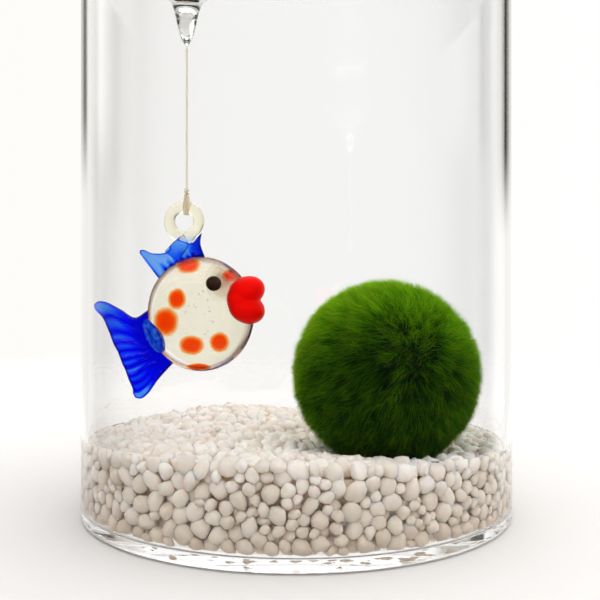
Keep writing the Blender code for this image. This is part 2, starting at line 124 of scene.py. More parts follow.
# Fish, as (towards the lips, up) from the middle of its body.
HEART_HALF = (0.0121, 0.0024, 0.0130)         # the clouded cream glass inside the clear casing
DENSE_PLACE = (0.0063, 0.0083)                # where the cloud is denser
BUBBLES = 28
SPOTS = [((-0.0084, -0.0019), (0.0067, 0.0072)), ((-0.0054, 0.0040), (0.0048, 0.0054)),
         ((-0.0017, -0.0080), (0.0064, 0.0051)), ((0.0055, -0.0072), (0.0048, 0.0051)),
         ((-0.0003, -0.0139), (0.0062, 0.0021)), ((-0.0029, 0.0129), (0.0062, 0.0043)),
         ((0.0084, 0.0103), (0.0046, 0.0032))]
BODY_GAP = 0.0002                             # how far the fins' roots go into the casing
TAIL_TOP_EDGE = [(-0.0149, 0.0010), (-0.0178, -0.0009), (-0.0216, 0.0012), (-0.0255, 0.0032),
                 (-0.0277, 0.0034), (-0.0289, 0.0025)]
TAIL_RIM = [(-0.0289, 0.0025), (-0.0283, 0.0011), (-0.0266, -0.0007), (-0.0250, -0.0036),
            (-0.0240, -0.0064), (-0.0217, -0.0114), (-0.0196, -0.0166), (-0.0184, -0.0196),
            (-0.0181, -0.0212), (-0.0173, -0.0224)]
TAIL_LOW_EDGE = [(-0.0086, -0.0137), (-0.0110, -0.0171), (-0.0136, -0.0207), (-0.0156, -0.0224),
                 (-0.0173, -0.0224)]
TAIL_ROOT = (176, 239)
TAIL_FOLDS = (0.17, 0.32, 0.43, 0.52, 0.60, 0.68, 0.77, 0.845, 0.92)
DORSAL_BACK_EDGE = [(-0.0117, 0.0097), (-0.0146, 0.0138), (-0.0164, 0.0163)]
DORSAL_RIM = [(-0.0164, 0.0163), (-0.0162, 0.0171), (-0.0150, 0.0171), (-0.0132, 0.0163),
              (-0.0105, 0.0162), (-0.0085, 0.0170), (-0.0069, 0.0194), (-0.0046, 0.0196),
              (-0.0024, 0.0190), (-0.0012, 0.0202), (0.0002, 0.0217)]
DORSAL_FRONT_EDGE = [(0.0012, 0.0156), (-0.0001, 0.0186), (0.0002, 0.0217)]
DORSAL_ROOT = (142, 85.5)
DORSAL_FOLDS = (0.22, 0.36, 0.47, 0.58, 0.70, 0.80)
RING_CENTRE = (-0.0045, 0.0247)
RING_RADIUS = 0.0040
RING_ROD = 0.0015
RING_SPREAD = 0.0017
RING_START = -22
RING_END = 276
THREAD_ANGLE = 80
RING_STEPS = 14
RING_FOOT = [(-0.0078, 0.0152), (-0.0060, 0.0174), (-0.0041, 0.0194), (-0.0022, 0.0213)]
RING_FOOT_WIDTHS = [1.55, 1.35, 1.1, 1.0]     # as shares of the rod's
LIPS = [((0.0121, 0.0060), (0.0051, 0.0078, 0.0040), 22),
        ((0.0121, 0.0015), (0.0051, 0.0078, 0.0040), -22),
        ((0.0104, 0.0038), (0.0036, 0.0076, 0.0046), 0)]
EYE_PLACE = (0.0040, 0.0078)
EYE_HALF = (0.0020, 0.0020, 0.0012)
SIDE_FIN_PLACE = (-0.0117, -0.0056)
SIDE_FIN_HALF = (0.0049, 0.0029, 0.0009)
SIDE_FIN_TURN = -65

# Fins: how wide their rounded edge is, half their thickness, and the width of the painted shade along
# their edge.
FIN_EDGE = 0.0007
FIN_HALF = 0.0009
FIN_EDGE_SHADE = 0.0003

# Studio: its walls as (degrees from the back, to the right, colour), low and higher up.
FLAGS_LOW = [(-82, "#1c1b1a"), (-66, "#3c3b3a"), (-55, "#a4a2a0"), (-46, "#eeedea"),
             (-40, "#f0eeea"), (-24, "#f6f4f1"), (-21.3, "#fdfcf9"), (24.5, "#ffffff"),
             (28, "#f8f7f4"), (40, "#f4f2ee"), (44, "#fefdfc"), (56, "#fefdfc"), (68, "#1c1b1a")]
FLAGS_HIGH = [(-82, "#1c1b1a"), (-62, "#fffefc"), (-40, "#fffefc"), (-39, "#2f2d28"),
              (-33.5, "#2f2d28"), (-32.5, "#b2afa7"), (-24, "#bcb9b1"), (-21.3, "#fdfcf9"),
              (24.5, "#ffffff"), (28, "#dcd9d3"), (35, "#b9b5ae"),
              (36.8, "#262320"), (45.5, "#262320"), (47.5, "#c0bbb4"), (58, "#d6d3cd"),
              (70, "#1c1b1a")]
FLAG_HEIGHT = (0.09, 0.22)       # upward share of a direction where the dark flags begin
FLAG_LEAN = 0.04                 # how much lower they begin on the right
BACK_LIGHT = (1.07, 1.0)         # straight behind and elsewhere
VIEW_BEHIND = (11, 16)           # degrees from the back where the first ends
FRONT_FROM = (50, 66)            # degrees from the back where the front begins
FRONT_FILL = 1.34                # in front, for what isn't mirrored
TOP_LIGHT = (3.3, 3.1)           # above in front and above behind
TOP_SIDES = (0.72, 1.28)         # the same from the left and from the right
ABOVE = (0.46, 0.70)             # upward share of a direction where the light above begins
ABOVE_LIFT = 0.10                # how much lower it begins in front


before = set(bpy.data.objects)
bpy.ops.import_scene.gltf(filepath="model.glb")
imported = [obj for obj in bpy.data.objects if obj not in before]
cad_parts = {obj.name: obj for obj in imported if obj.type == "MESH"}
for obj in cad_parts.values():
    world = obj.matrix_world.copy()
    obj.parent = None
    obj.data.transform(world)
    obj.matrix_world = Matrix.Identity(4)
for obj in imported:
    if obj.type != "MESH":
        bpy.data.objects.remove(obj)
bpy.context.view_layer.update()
rng = np.random.default_rng(SEED)
fish_low, fish_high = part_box("fish_body")
FISH = (fish_low + fish_high) / 2
BODY_HALF = fish_high - FISH
THREAD_AXIS = (FISH.x + THREAD_X, FISH.y)


def unit(ways):
    return ways / np.linalg.norm(ways, axis=-1, keepdims=True)


def tree_of(places):
    """A search tree over some places."""
    tree = kdtree.KDTree(len(places))
    for i, place in enumerate(places):
        tree.insert(place, i)
    tree.balance()
    return tree


def linear(code):
    """The linear RGBA of an sRGB colour such as "#d8cfc4"."""
    values = [int(code[i:i + 2], 16) / 255 for i in (1, 3, 5)]
    return (*[v / 12.92 if v <= 0.04045 else ((v + 0.055) / 1.055) ** 2.4 for v in values], 1.0)


def plain(value):
    """A socket's value, where a colour may be given by its code."""
    return linear(value) if isinstance(value, str) else value


def node(tree, kind, sockets=None, stops=None, **settings):
    """Adds a node with its settings; a socket takes a value, a colour's code or an output."""
    made = tree.nodes.new(kind)
    for name, value in settings.items():
        setattr(made, name, value)
    for name, value in (sockets or {}).items():
        if isinstance(value, bpy.types.NodeSocket):
            tree.links.new(value, made.inputs[name])
        else:
            made.inputs[name].default_value = plain(value)
    if stops:
        ramp = made.color_ramp.elements
        while len(ramp) < len(stops):
            ramp.new(1.0)
        for element, (place, code) in zip(ramp, stops):
            element.position = place
            element.color = linear(code)
    return made


def math_of(tree, operation, *values):
    return node(tree, "ShaderNodeMath", dict(enumerate(values)), operation=operation).outputs[0]


def vector_of(tree, operation, *values):
    made = node(tree, "ShaderNodeVectorMath", dict(enumerate(values)), operation=operation)
    return made.outputs["Value" if operation in ("LENGTH", "DISTANCE") else "Vector"]


def between(tree, value, low, high, start=0.0, end=1.0, way="LINEAR"):
    """A number that goes from start to end while a value goes from low to high."""
    made = node(tree, "ShaderNodeMapRange", {
        "Value": value, "From Min": low, "From Max": high, "To Min": start, "To Max": end},
        interpolation_type=way)
    return made.outputs[0]


def eased(tree, *values):
    """The same with a soft start and end."""
    return between(tree, *values, way="SMOOTHSTEP")


def coloured(tree, value, stops):
    return node(tree, "ShaderNodeValToRGB", {"Fac": value}, stops=stops).outputs["Color"]


def blend(tree, first, second, share=1.0, way="MULTIPLY"):
    """Two colours multiplied or mixed."""
    made = node(tree, "ShaderNodeMix", {0: share, 6: first, 7: second}, data_type="RGBA",
                blend_type=way)
    return made.outputs[2]


def place_in(tree):
    return node(tree, "ShaderNodeTexCoord").outputs["Object"]


def split(tree, vector):
    return node(tree, "ShaderNodeSeparateXYZ", {0: vector}).outputs


def number(tree, name):
    """One of the numbers that a piece's points carry."""
    return node(tree, "ShaderNodeAttribute", attribute_name=name).outputs["Fac"]


def cloud(tree, place, scale, detail=2.0):
    made = node(tree, "ShaderNodeTexNoise", {"Vector": place, "Scale": scale, "Detail": detail})
    return made.outputs["Fac"]


def finish_of(name, sockets):
    """A material with these values on its shader's sockets, its node tree and its shader."""
    made = bpy.data.materials.new(name)
    made.use_nodes = True
    shader = made.node_tree.nodes["Principled BSDF"]
    for socket, value in sockets.items():
        shader.inputs[socket].default_value = plain(value)
    return made, made.node_tree, shader


def clear(name, refraction):
    """Something perfectly clear and smooth, such as polished glass, air or water."""
    return finish_of(name, {"Base Color": "#ffffff", "Roughness": 0.0, "IOR": refraction,
                            "Transmission Weight": 1.0})[0]


def lay_over(tree, shader, second, share):
    """Mixes a second shader into a finish's surface."""
    both = node(tree, "ShaderNodeMixShader", {0: share, 1: shader.outputs[0],
                                              2: second.outputs[0]})
    tree.links.new(both.outputs[0], tree.nodes["Material Output"].inputs["Surface"])


def glow_through(tree, shader, colour, share):
    """Lets a share of the light through from behind, as something thin or cloudy does."""
    lay_over(tree, shader, node(tree, "ShaderNodeBsdfTranslucent", {"Color": colour}), share)


def deselect():
    if bpy.context.object and bpy.context.object.mode != "OBJECT":
        bpy.ops.object.mode_set(mode="OBJECT")
    bpy.ops.object.select_all(action="DESELECT")


def select(*pieces):
    """Selects these pieces alone, with the first of them active."""
    deselect()
    for piece in pieces:
        piece.select_set(True)
    bpy.context.view_layer.objects.active = pieces[0]


def begin(primitive, name, **settings):
    """Adds a primitive as the start of a piece, with its place in its mesh."""
    deselect()
    primitive(**settings)
    piece = bpy.context.object
    piece.name = piece.data.name = name
    bpy.ops.object.transform_apply(location=True, rotation=True, scale=True)
    return piece


def ball(name, half, centre=(0, 0, 0), segments=64):
    """A sphere of quads, or an egg of three half sizes."""
    return begin(bpy.ops.mesh.primitive_uv_sphere_add, name, segments=segments,
                 ring_count=segments // 2, radius=1.0, scale=half, location=centre)


def pick(piece, kind, test):
    """Selects in edit mode the faces or edges that pass a test, and nothing else."""
    if piece.mode != "OBJECT":
        bpy.ops.object.mode_set(mode="OBJECT")
    mesh = piece.data
    points = [v.co for v in mesh.vertices]
    for group in (mesh.vertices, mesh.edges, mesh.polygons):
        group.foreach_set("select", [False] * len(group))
    if kind == "FACE":
        chosen = [f for f in mesh.polygons if test(f.center, f.normal)]
    else:
        chosen = [e for e in mesh.edges if test(*[points[i] for i in e.vertices])]
    for element in chosen:
        element.select = True
    bpy.ops.object.mode_set(mode="EDIT")
    bpy.ops.mesh.select_mode(type=kind)


def pick_end(piece, way):
    """Selects the faces that look up, with way 1, or down, with -1."""
    pick(piece, "FACE", lambda middle, normal: normal.z * way > 0.9)


def use_modifier(piece, kind, **settings):
    """Adds a modifier and applies it."""
    select(piece)
    modifier = piece.modifiers.new(kind.title(), kind)
    for name, value in settings.items():
        setattr(modifier, name, value)
    bpy.ops.object.modifier_apply(modifier=modifier.name)


def smooth(piece, angle=180):
    select(piece)
    bpy.ops.object.shade_smooth_by_angle(angle=math.radians(angle))


def join(pieces):
    select(*pieces)
    bpy.ops.object.join()
    return pieces[0]


def move_points(piece, change):
    """Moves each point of a finished mesh to where a function of its place puts it."""
    for vert in piece.data.vertices:
        vert.co = change(vert.co.copy())
    piece.data.update()


def give_numbers(mesh, name, values):
    """Gives each point of a mesh a number, which its material can read."""
    layer = mesh.attributes.new(name, "FLOAT", "POINT")
    layer.data.foreach_set("value", values.astype(np.float32))


def from_arrays(name, points, faces, numbers):
    """A piece of many small shapes, with named numbers for each point."""
    mesh = bpy.data.meshes.new(name)
    mesh.from_pydata(points.tolist(), [], faces)
    for attribute, values in numbers.items():
        give_numbers(mesh, attribute, values)
    mesh.polygons.foreach_set("use_smooth", [True] * len(mesh.polygons))
    piece = bpy.data.objects.new(name, mesh)
    bpy.context.scene.collection.objects.link(piece)
    return piece


def dress(piece, finish, slot, *stood_for):
    """Gives a piece its finish, its ride and the nodes that it replaces. The slot is not used."""
    piece.data.materials.clear()
    piece.data.materials.append(finish)
    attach(piece, "root")
    if stood_for:
        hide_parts(*stood_for)


def dress_faces(piece, finish, test):
    """Gives a second finish to the faces that pass a test."""
    piece.data.materials.append(finish)
    for face in piece.data.polygons:
        face.material_index = int(test(face))


def place_camera():
    deselect()
    bpy.ops.object.camera_add(location=CAMERA_PLACE, rotation=(math.pi / 2, 0, 0))
    camera = bpy.context.object
    camera.data.lens = CAMERA_LENS
    camera.data.clip_start = 0.01
    bpy.context.scene.camera = camera


def nylon_finish():
    """Drawn nylon monofilament: a pale beige line that glows a little with the light behind it."""
    finish, tree, shader = finish_of("drawn_nylon", {
        "Base Color": "#fbf6ea", "Roughness": 0.3, "IOR": 1.1, "Transmission Weight": 0.9})
    glow_through(tree, shader, "#fbf4e6", 0.5)
    return finish


def bezier(name, points, width, radii=None, resolution=8):
    """A round rod or thread on one smooth curve through the points."""
    deselect()
    bpy.ops.curve.primitive_bezier_curve_add()
    piece = bpy.context.object
    piece.name = piece.data.name = name
    spline = piece.data.splines[0]
    spline.bezier_points.add(len(points) - 2)
    for knot, point, radius in zip(spline.bezier_points, points, radii or [1.0] * len(points)):
        knot.co = point
        knot.radius = radius
        knot.handle_left_type = knot.handle_right_type = "AUTO"
    piece.data.bevel_depth = width / 2
    piece.data.bevel_resolution = 3
    piece.data.resolution_u = piece.data.render_resolution_u = resolution
    piece.data.use_fill_caps = True
    return piece


def to_mesh(piece):
    """Turns a curve into a closed mesh."""
    select(piece)
    bpy.ops.object.convert(target="MESH")
    bpy.ops.object.mode_set(mode="EDIT")
    bpy.ops.mesh.select_all(action="SELECT")
    bpy.ops.mesh.remove_doubles(threshold=SAME)
    bpy.ops.mesh.normals_make_consistent(inside=False)
    bpy.ops.object.mode_set(mode="OBJECT")
    return piece


def make_thread():
    """The strand from the float's tail round the ring's rod, with its knot and a second turn."""
    points = [Vector((THREAD_AXIS[0], FISH.y + y, FISH.z + z)) for y, z in THREAD_ROUTE]
    strand = bezier("thread_strand", points, THREAD_DIAMETER)
    finish = nylon_finish()
    turns = []
    for shift, name in ((-0.00055, "thread_turn"), (0.0005, "thread_turn_right")):
        loop = [p + Vector((shift * min(1, i / 3), 0, 0)) for i, p in enumerate(points[4:])]
        turns.append(bezier(name, loop, THREAD_DIAMETER * 0.8))
    coil = []
    for i in range(KNOT_STEPS + 1):
        share = i / KNOT_STEPS
        turn = share * KNOT_TURNS * math.tau
        coil.append((THREAD_AXIS[0] + KNOT_RADIUS * math.cos(turn),
                     FISH.y + KNOT_RADIUS * math.sin(turn), FISH.z + KNOT_LOW + KNOT_HEIGHT * share))
    turns.append(bezier("thread_knot", coil, THREAD_DIAMETER * 0.9))
    knot = join([to_mesh(turn) for turn in turns])
    knot.name = knot.data.name = "thread_knot"
    dress(strand, finish, "nylon", "thread")
    dress(knot, finish, "nylon")


def curve_through(points, shares):
    """Places at shares of the length of a smooth curve through the points."""
    knots = np.array(points)
    knots = np.vstack((2 * knots[0] - knots[1], knots, 2 * knots[-1] - knots[-2]))
    t = np.linspace(0, 1, 20, endpoint=False)[:, None]
    dense = [0.5 * (2 * a + (b - before) * t + (2 * before - 5 * a + 4 * b - after) * t ** 2
                    + (3 * a - before - 3 * b + after) * t ** 3)
             for before, a, b, after in zip(knots, knots[1:], knots[2:], knots[3:])]
    dense = np.concatenate(dense + [knots[-2:-1]])
    far = np.concatenate(([0], np.cumsum(np.linalg.norm(np.diff(dense, axis=0), axis=1))))
    return np.stack([np.interp(shares * far[-1], far, values) for values in dense.T], 1)


def float_finish():
    """Blown clear glass, a little grey where its wall is seen edge on."""
    finish = clear("blown_clear_glass", 1.5)
    tree = finish.node_tree
    tint = node(tree, "ShaderNodeVolumeAbsorption", {"Color": "#9aa090", "Density": 60.0})
    tree.links.new(tint.outputs[0], tree.nodes["Material Output"].inputs["Volume"])
    return finish


def face_outward(piece):
    pick(piece, "FACE", lambda middle, normal: True)
    bpy.ops.mesh.normals_make_consistent(inside=False)
    bpy.ops.object.mode_set(mode="OBJECT")


def turned(name, profile, sides=96):
    """A profile of (radius, height) places spun round the thread's axis, closed at both ends."""
    piece = bezier(name, [(radius, 0.0, height) for radius, height in profile], 0.0, resolution=6)
    to_mesh(piece)
    use_modifier(piece, "SCREW", steps=sides, render_steps=sides, use_merge_vertices=True,
                 merge_threshold=SAME)
    face_outward(piece)
    move_points(piece, lambda p: p + Vector((*THREAD_AXIS, 0)))
    return piece


def make_float():
    """A hollow bulb that ends in a solid drawn tail with the thread at its tip."""
    def bulb(radius, last):
        angles = np.radians(np.linspace(90, last, 9))
        return [(max(0.0, radius * math.cos(a)), FLOAT_MIDDLE + radius * math.sin(a))
                for a in angles]
    outside = turned("float_bulb", bulb(FLOAT_RADIUS, FLOAT_TANGENT) + FLOAT_TAIL)
    hollow = turned("float_hollow", bulb(FLOAT_RADIUS - FLOAT_WALL, HOLLOW_TANGENT) + FLOAT_HOLLOW)
    hollow.data.flip_normals()
    whole = join([outside, hollow])
    smooth(whole)
    dress(whole, float_finish(), "float_glass", "float")


def at(along, up, depth=0.0):
    """A place by the fish: towards its lips, up and towards the back from its middle."""
    return Vector((FISH.x + along, FISH.y + depth, FISH.z + up))


def casing_finish():
    """Clear glass with red-orange drops melted flat into its front, browner towards its rim."""
    finish, tree, shader = finish_of("cream_clear_glass_with_drops", {"Roughness": 0.0, "IOR": 1.22})
    place = place_in(tree)
    distances = []
    for centre, size in SPOTS:
        offset = vector_of(tree, "SUBTRACT", place, at(*centre))
        scaled = vector_of(tree, "MULTIPLY", offset, (2 / size[0], 0.0, 2 / size[1]))
        distances.append(vector_of(tree, "LENGTH", scaled))
    nearest = distances[0]
    for distance in distances[1:]:
        nearest = math_of(tree, "MINIMUM", nearest, distance)
    edge = math_of(tree, "MULTIPLY_ADD", cloud(tree, place, 500.0), 0.22, nearest)
    behind = between(tree, split(tree, place)["Y"], FISH.y, FISH.y + 0.004)
    half = math_of(tree, "MULTIPLY", math_of(tree, "ADD", edge, behind), 0.5)
    drops = coloured(tree, half, [
        (0.28, "#ff1000"), (0.40, "#ff2400"), (0.48, "#ff5808"), (0.56, "#ffb068"),
        (0.61, "#ffffff")])
    offset = vector_of(tree, "SUBTRACT", place, FISH)
    share = vector_of(tree, "MULTIPLY", offset, (1 / BODY_HALF.x, 0.0, 1 / BODY_HALF.z))
    rim_brown = coloured(tree, vector_of(tree, "LENGTH", share), [
        (0.85, "#ffffff"), (0.885, "#e4d6c4"), (0.91, "#a5917d"), (1.0, "#9c7a66")])
    tree.links.new(blend(tree, drops, rim_brown), shader.inputs["Base Color"])
    clearness = between(tree, half, 0.40, 0.56, 0.72, 1.0)
    tree.links.new(clearness, shader.inputs["Transmission Weight"])
    return finish


def heart_finishes():
    """A fine cream cloud within the glass, denser about the eyes, and the clear glass behind it."""
    finish, tree, shader = finish_of("cream_clouded_glass", {
        "Base Color": "#faf4d0", "Roughness": 0.0, "IOR": 1.0})
    far = vector_of(tree, "DISTANCE", place_in(tree), at(*DENSE_PLACE))
    clearness = eased(tree, far, 0.0032, 0.0062, 0.24, 0.9)
    tree.links.new(clearness, shader.inputs["Transmission Weight"])
    glow_through(tree, shader, "#fdf8e8", 0.06)
    return finish, clear("cream_clear_core", 1.0)


def make_body():
    """A clear flattened casing, a little uneven, with small bubbles over its clouded heart."""
    body = ball("fish_casing", BODY_HALF, FISH, 160)
    move_points(body, lambda p: p + (p - FISH) * 0.012 * (noise.noise(p * 90) - 0.4))
    smooth(body)
    dress(body, casing_finish(), "cream_glass", "fish_body")
    heart = ball("fish_heart", HEART_HALF, at(-0.0001, 0.0001), 96)
    move_points(heart, lambda p: p + (p - FISH) * 0.03 * noise.noise(p * 110))
    smooth(heart)
    clouded, core = heart_finishes()
    dress(heart, clouded, "cream_glass", "fish_body")
    dress_faces(heart, core, lambda face: face.normal.y > 0)
    bubbles = []
    for _ in range(BUBBLES):
        along, up = rng.normal(0, 0.0044), rng.normal(-0.0010, 0.0046)
        bubbles.append(begin(bpy.ops.mesh.primitive_uv_sphere_add, "fish_bubbles", segments=12,
                             ring_count=8, radius=rng.uniform(0.0001, 0.00026),
                             location=at(along, up, rng.uniform(-0.0052, -0.0032))))
    bubbles = join(bubbles)
    smooth(bubbles)
    dress(bubbles, clear("trapped_air", 0.667), "cream_glass", "fish_body")


def fin_finish(name, stops, clearness=0.93):
    """Blue glass pressed into folds: deep cobalt where it is thick, light blue where it is thin,
    with painted shade along its edges.

    Its refraction is that of glass in water, so that hardly anything is mirrored in it.
    """
    finish, tree, shader = finish_of(name, {
        "Roughness": 0.03, "IOR": 1.15, "Transmission Weight": clearness})
    tree.links.new(coloured(tree, number(tree, "thinness_and_edge_shade"), stops), shader.inputs["Base Color"])
    return finish


def body_root(angles):
    """The casing's outline between two angles, where a fin grows out of it."""
    turn = np.radians(np.linspace(*angles, 9))
    return np.stack(((BODY_HALF.x - BODY_GAP) * np.cos(turn),
                     (BODY_HALF.z - BODY_GAP) * np.sin(turn)), 1)


def fin(name, root, rim, first_edge, last_edge, cells, folding, thinness_and_edge_shade):
    """A grid and its thickness, drawn out between a root, a rim and two edges.

    The folding and lightness functions take (across, out, metres from the edge) and give the
    depth of the folds, and how light the glass is with painted shade along its edge.
    """
    first_edge = [tuple(root[0])] + first_edge[1:]
    last_edge = [tuple(root[-1])] + last_edge[1:]
    piece = begin(bpy.ops.mesh.primitive_grid_add, name, x_subdivisions=cells[0],
                  y_subdivisions=cells[1], size=1.0, location=(0.5, 0.5, 0))
    use_modifier(piece, "SOLIDIFY", thickness=1.0, offset=0.0)
    places = np.array([v.co for v in piece.data.vertices])
    across, out = np.clip(places[:, 0], 0, 1), np.clip(places[:, 1], 0, 1)
    roots, rims = curve_through(root, across), curve_through(rim, across)
    firsts, lasts = curve_through(first_edge, out), curve_through(last_edge, out)
    s, t = across[:, None], out[:, None]
    corners = ((np.array(root[0]) * (1 - s) + np.array(root[-1]) * s) * (1 - t)
               + (np.array(rim[0]) * (1 - s) + np.array(rim[-1]) * s) * t)
    flat = roots * (1 - t) + rims * t + firsts * (1 - s) + lasts * s - corners
    width = np.linalg.norm(rims[across.argmax()] - rims[across.argmin()])
    height = np.linalg.norm(rims - roots, axis=1)
    edge = np.minimum(np.minimum(across, 1 - across) * width * (0.45 + 0.55 * out),
                      (1 - out) * height)
    rounding = np.sqrt(np.clip(1 - (1 - np.minimum(edge / FIN_EDGE, 1)) ** 2, 0.0, 1))
    light = thinness_and_edge_shade(across, out, edge)
    half = FIN_HALF * (1.15 - 0.5 * light) * (0.12 + 0.88 * rounding)
    depth = folding(across, out) + np.sign(places[:, 2]) * half
    for vert, place, back in zip(piece.data.vertices, flat, depth):
        vert.co = at(place[0], place[1], back)
    give_numbers(piece.data, "thinness_and_edge_shade", light)
    face_outward(piece)
    smooth(piece, 60)
    return piece


def streaks(across, out, seed, pitch):
    """Fine lines that run out from a fin's root, from -1 to 1."""
    return np.array([noise.noise((s * pitch, t * 1.3, seed)) for s, t in zip(across, out)])


def near(values, places, width):
    """1 at any of the places and 0 far from all of them."""
    return np.exp(-((values[:, None] - np.array(places)) / width) ** 2).max(1)


def soft(values, low, high):
    share = np.clip((values - low) / (high - low), 0, 1)
    return share * share * (3 - 2 * share)


def with_edge_shade(level, edge):
    """Paints shade along a fin's edge, as a darker glass colour there."""
    return np.clip(level - 0.95 * np.exp(-(edge / FIN_EDGE_SHADE) ** 2), 0, 1)


def make_tail():
    """A wide fan in deep folds, with a lighter tip above and a light panel below."""
    def folding(across, out):
        wave = 0.00035 * np.cos(across * math.tau * 5.5 + 0.6) + 0.0003 * streaks(across, out, 3, 22)
        return wave * np.sin(math.pi * 0.75 * out) - 0.0012 * np.sin(math.pi * out) * (across - 0.5)

    def thinness_and_edge_shade(across, out, edge):
        panels = 1 - 0.85 * near(across, TAIL_FOLDS, 0.022)
        level = 0.22 + 0.62 * soft(out, 0.15, 0.8) * panels
        level += 0.17 * streaks(across, out, 7, 30) * soft(out, 0.1, 0.5)
        level += 0.3 * soft(out, 0.62, 1.0) * soft(across, 0.16, 0.02)
        level += 0.35 * near(across, (0.955,), 0.03) * soft(out, 0.45, 0.8)
        return with_edge_shade(level, edge)

    tail = fin("fish_tail_fan", body_root(TAIL_ROOT), TAIL_RIM, TAIL_TOP_EDGE, TAIL_LOW_EDGE,
               (200, 80), folding, thinness_and_edge_shade)
    dress(tail, fin_finish("cobalt_glass_fan", [
        (0.0, "#020660"), (0.2, "#0000d4"), (0.5, "#0006ff"), (0.7, "#0632ff"),
        (0.86, "#1c64ff"), (1.0, "#4a92ff")]), "blue_glass", "fish_tail")


def make_dorsal():
    """A paler fin with cobalt wedges at its root and a dark peak at the front."""
    def folding(across, out):
        return 0.0003 * np.sin(across * math.tau * 6) * np.sin(math.pi * 0.75 * out)

    def thinness_and_edge_shade(across, out, edge):
        wedges = near(across, DORSAL_FOLDS, 0.04) * soft(out, 0.55, 0.05)
        level = 0.88 - 0.6 * wedges - 0.5 * soft(out, 0.22, 0.0) * soft(across, 0.1, 0.3)
        level -= 0.62 * soft(across, 0.72, 0.86)
        level += 0.10 * streaks(across, out, 5, 24)
        level += 0.30 * near(across, (0.60,), 0.12) * soft(out, 0.3, 0.75)
        return with_edge_shade(level, edge)

    dorsal = fin("fish_dorsal_crest", body_root(DORSAL_ROOT), DORSAL_RIM, DORSAL_BACK_EDGE,
                 DORSAL_FRONT_EDGE, (160, 60), folding, thinness_and_edge_shade)
    dress(dorsal, fin_finish("light_blue_glass_crest", [
        (0.0, "#03087a"), (0.2, "#0018dc"), (0.5, "#1e66ff"), (0.75, "#4290ff"),
        (1.0, "#90c4ff")]), "blue_glass", "fish_dorsal_fin")


def ring_finish():
    """Clear cream glass rod, which turns light blue where it melts into the crest."""
    finish, tree, shader = finish_of("cream_glass_rod", {
        "Roughness": 0.02, "IOR": 1.22, "Transmission Weight": 1.0})
    share = between(tree, split(tree, place_in(tree))["Z"], FISH.z + 0.0165, FISH.z + 0.0222)
    colour = coloured(tree, share, [
        (0.0, "#4f97ff"), (0.4, "#a4cdff"), (0.75, "#f3f1e4"), (1.0, "#fdf8e2")])
    tree.links.new(colour, shader.inputs["Base Color"])
    return finish


def make_ring():
    """A rod that rises out of the crest, curls once and ends behind its own foot."""
    route = [at(x, z, -RING_SPREAD) for x, z in RING_FOOT]
    for degrees in np.linspace(RING_START, RING_END, RING_STEPS):
        turn = math.radians(degrees)
        depth = RING_SPREAD * (degrees - THREAD_ANGLE) / (RING_END - THREAD_ANGLE)
        route.append(at(RING_CENTRE[0] + RING_RADIUS * math.cos(turn),
                        RING_CENTRE[1] + RING_RADIUS * math.sin(turn), depth))
    ring = bezier("fish_hanging_ring", route, 2 * RING_ROD, RING_FOOT_WIDTHS + [1.0] * RING_STEPS, 12)
    ring.data.bevel_resolution = 8
    to_mesh(ring)
    foot = FISH.z + RING_FOOT[2][1]

    def flatten(place):
        share = min(1.0, max(0.0, (foot + 0.0005 - place.z) / 0.004))
        if place.y < FISH.y:
            middle = FISH.y - RING_SPREAD * (1 - 0.8 * share)
            place.y = middle + (place.y - FISH.y + RING_SPREAD) * (1 - 0.6 * share)
        return place

    move_points(ring, flatten)
    smooth(ring)
    dress(ring, ring_finish(), "cream_glass", "fish_ring")


def make_lips():
    """Two fat lobes melted into one, wrapped round the front of the body."""
    lobes = []
    for place, half, tilt in LIPS:
        lobe = ball("fish_mouth", half)
        placing = Matrix.Translation(at(*place)) @ Matrix.Rotation(-math.radians(tilt), 4, "Y")
        move_points(lobe, lambda p: placing @ p)
        lobes.append(lobe)
    lips = join(lobes)
    use_modifier(lips, "REMESH", mode="VOXEL", voxel_size=0.0002)
    use_modifier(lips, "SMOOTH", factor=0.5, iterations=14)
    smooth(lips)
    finish, tree, shader = finish_of("red_glass_lobes", {
        "Base Color": "#ff0800", "Roughness": 0.3, "IOR": 1.1})
    glow_through(tree, shader, "#ff1804", 0.4)
    dress(lips, finish, "red_glass", "fish_lips")


def flank_bead(name, half, place, turn, side, shape, segments=64):
    """A bead of glass pressed onto the body's flank; side is -1 in front."""
    along, up = place
    left = 1 - (along / BODY_HALF.x) ** 2 - (up / BODY_HALF.z) ** 2
    point = Vector((along, side * BODY_HALF.y * math.sqrt(left), up))
    outward = Vector((point[i] / BODY_HALF[i] ** 2 for i in range(3))).normalized()
    placing = (Matrix.Translation(FISH + point + outward * half[2] * 0.7)
               @ outward.to_track_quat("Z", "Y").to_matrix().to_4x4()
               @ Matrix.Rotation(math.radians(turn), 4, "Z"))
    bead = ball(name, (1, 1, 1), segments=segments)
    move_points(bead, lambda p: placing @ (shape(p) * Vector(half)))
    smooth(bead)
    return bead


